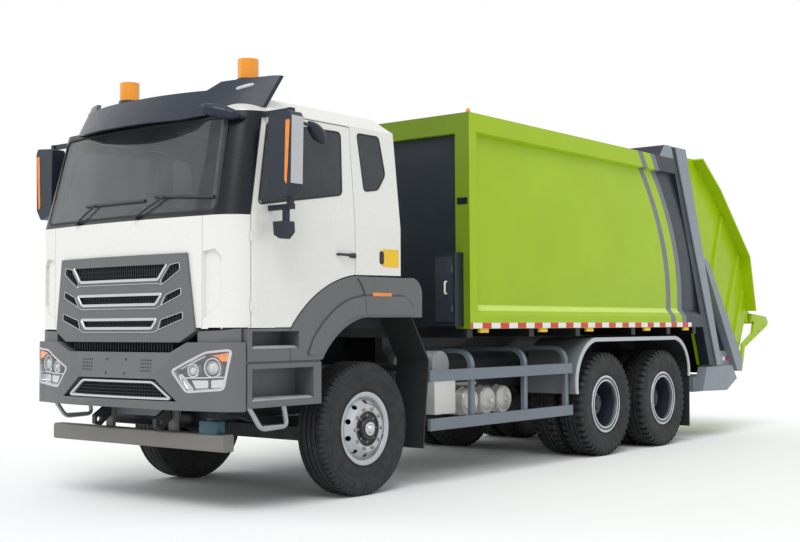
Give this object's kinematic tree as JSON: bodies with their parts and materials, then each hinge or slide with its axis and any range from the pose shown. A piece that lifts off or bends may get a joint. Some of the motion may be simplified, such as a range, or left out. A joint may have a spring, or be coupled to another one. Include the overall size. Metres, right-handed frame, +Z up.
{
  "type": "rear-loading garbage truck",
  "caption": "Cab-over garbage truck with a lime compactor body, a lifting tailgate with packer and bin lifter, opening doors, tilting cab and steered front wheels.",
  "frame": {"origin": "on the ground under the middle of the bounding box", "axes": "+X forward, +Y to the vehicle's left, +Z up"},
  "size_m": [10.3486, 3.1436, 3.546],
  "materials": {
    "cab_white": "gloss paint",
    "lime_paint": "gloss paint",
    "slate_paint": "satin paint",
    "grey_paint": "satin paint",
    "guard_paint": "satin paint",
    "chassis_paint": "satin paint",
    "engine_iron": "painted casting",
    "axle_iron": "painted casting",
    "tank_alloy": "plain alloy",
    "tank_paint": "satin paint",
    "grey_plastic": "grained",
    "black_plastic": "grained",
    "black_frame": "gloss black",
    "slate_plastic": "smoke gloss",
    "flap_rubber": "matt",
    "lamp_lens": "clear lens",
    "cab_glass": "tinted",
    "beacon_orange": "orange lens",
    "trim_fabric": "grey cloth",
    "tyre_rubber": "matt",
    "rim_silver": "silver paint",
    "rod_chrome": "hard chrome",
    "bar_paint": "satin paint"
  },
  "bodies": {
    "chassis": {"chassis_frame": "chassis_paint", "front_axle": "axle_iron", "rear_axles": "axle_iron", "engine": "engine_iron", "chassis_tanks": "tank_paint", "air_tanks": "tank_alloy", "side_guards": "guard_paint", "mudguards": "flap_rubber", "fender_steps": "grey_plastic", "front_bumper": "grey_plastic", "headlamps": "lamp_lens", "underrun_bar": "bar_paint", "rear_tank": "grey_paint", "body_floor": "lime_paint", "body_sides": "lime_paint", "body_roof": "lime_paint", "body_front": "lime_paint", "rear_frame": "grey_paint"},
    "cab": {"cab_floor": "chassis_paint", "cab_rear_panels": "cab_white", "cab_roof": "cab_white", "cab_front_panel": "cab_white", "windscreen_frame": "black_frame", "cab_glass": "cab_glass", "grille": "grey_plastic", "sun_visor": "slate_plastic", "beacons": "beacon_orange", "cab_interior": "black_plastic", "cab_seats": "trim_fabric"},
    "door_left": {"door_left": "cab_white", "door_left_glass": "cab_glass", "door_left_mirror": "slate_plastic"},
    "door_right": {"door_right": "cab_white", "door_right_glass": "cab_glass", "door_right_mirror": "slate_plastic"},
    "knuckle_left": {"knuckle_left": "axle_iron"},
    "knuckle_right": {"knuckle_right": "axle_iron"},
    "tie_rod": {"tie_rod": "axle_iron"},
    "wheel_front_left": {"tyre_front_left": "tyre_rubber", "rim_front_left": "rim_silver"},
    "wheel_front_right": {"tyre_front_right": "tyre_rubber", "rim_front_right": "rim_silver"},
    "wheels_rear_1_left": {"tyres_rear_1_left": "tyre_rubber", "rims_rear_1_left": "rim_silver"},
    "wheels_rear_1_right": {"tyres_rear_1_right": "tyre_rubber", "rims_rear_1_right": "rim_silver"},
    "wheels_rear_2_left": {"tyres_rear_2_left": "tyre_rubber", "rims_rear_2_left": "rim_silver"},
    "wheels_rear_2_right": {"tyres_rear_2_right": "tyre_rubber", "rims_rear_2_right": "rim_silver"},
    "tailgate": {"tailgate_sides": "lime_paint", "tailgate_rails": "grey_paint", "tailgate_skins": "lime_paint"},
    "lift_barrels": {"lift_barrels": "slate_paint"},
    "lift_rods": {"lift_rods": "rod_chrome"},
    "carriage": {"carriage": "slate_paint"},
    "packer": {"packer_blade": "slate_paint"},
    "bin_lifter": {"bin_lifter": "lime_paint"}
  },
  "joints": [
    {"name": "cab_tilt", "type": "hinge", "parent": "chassis", "child": "cab", "pos_m": [4.925, 0, 0.905], "axis": [0, 1, 0], "range_deg": [0, 50]},
    {"name": "door_left_open", "type": "hinge", "parent": "cab", "child": "door_left", "pos_m": [4.879, 1.234, 1.8], "axis": [0, 0, -1], "range_deg": [0, 70]},
    {"name": "door_right_open", "type": "hinge", "parent": "cab", "child": "door_right", "pos_m": [4.879, -1.234, 1.8], "axis": [0, 0, 1], "range_deg": [0, 70]},
    {"name": "steer_left", "type": "hinge", "parent": "chassis", "child": "knuckle_left", "pos_m": [3.475, 0.9, 0.555], "axis": [0, 0, 1], "range_deg": [-35, 35]},
    {"name": "steer_right", "type": "hinge", "parent": "chassis", "child": "knuckle_right", "pos_m": [3.475, -0.9, 0.555], "axis": [0, 0, 1], "range_deg": [-35, 35]},
    {"name": "tie_rod_slide", "type": "slide", "parent": "chassis", "child": "tie_rod", "axis": [0, 1, 0], "range_m": [-0.11, 0.11]},
    {"name": "wheel_front_left_spin", "type": "hinge", "parent": "knuckle_left", "child": "wheel_front_left", "pos_m": [3.475, 1.02, 0.555], "axis": [0, 1, 0], "continuous": true},
    {"name": "wheel_front_right_spin", "type": "hinge", "parent": "knuckle_right", "child": "wheel_front_right", "pos_m": [3.475, -1.02, 0.555], "axis": [0, 1, 0], "continuous": true},
    {"name": "wheels_rear_1_left_spin", "type": "hinge", "parent": "chassis", "child": "wheels_rear_1_left", "pos_m": [-0.475, 0.915, 0.555], "axis": [0, 1, 0], "continuous": true},
    {"name": "wheels_rear_1_right_spin", "type": "hinge", "parent": "chassis", "child": "wheels_rear_1_right", "pos_m": [-0.475, -0.915, 0.555], "axis": [0, 1, 0], "continuous": true},
    {"name": "wheels_rear_2_left_spin", "type": "hinge", "parent": "chassis", "child": "wheels_rear_2_left", "pos_m": [-1.825, 0.915, 0.555], "axis": [0, 1, 0], "continuous": true},
    {"name": "wheels_rear_2_right_spin", "type": "hinge", "parent": "chassis", "child": "wheels_rear_2_right", "pos_m": [-1.825, -0.915, 0.555], "axis": [0, 1, 0], "continuous": true},
    {"name": "tailgate_lift", "type": "hinge", "parent": "chassis", "child": "tailgate", "pos_m": [-2.17652, 0, 3.45], "axis": [0, 1, 0], "range_deg": [0, 90]},
    {"name": "lift_barrel_swing", "type": "hinge", "parent": "chassis", "child": "lift_barrels", "pos_m": [-3.245, 0, 1.2], "axis": [0, -1, 0], "range_deg": [0, 8]},
    {"name": "lift_rod_slide", "type": "slide", "parent": "lift_barrels", "child": "lift_rods", "axis": [0.3097, 0, 0.9508], "range_m": [0, 0.97]},
    {"name": "carriage_slide", "type": "slide", "parent": "tailgate", "child": "carriage", "axis": [-0.632, 0, -0.775], "range_m": [0, 0.4]},
    {"name": "packer_swing", "type": "hinge", "parent": "carriage", "child": "packer", "pos_m": [-3.2438, 0, 2.2025], "axis": [0, 1, 0], "range_deg": [-50, 30]},
    {"name": "bin_lift", "type": "hinge", "parent": "tailgate", "child": "bin_lifter", "pos_m": [-4.655, 0, 1.5], "axis": [0, 1, 0], "range_deg": [0, 100]}
  ],
  "couplings": [
    {"joint": "steer_right", "follows": "steer_left", "ratio": 1},
    {"joint": "tie_rod_slide", "follows": "steer_left", "m_per_rad": -0.169},
    {"joint": "lift_barrel_swing", "follows": "tailgate_lift", "ratio": 0.07056},
    {"joint": "lift_rod_slide", "follows": "tailgate_lift", "m_per_rad": 0.6151}
  ]
}
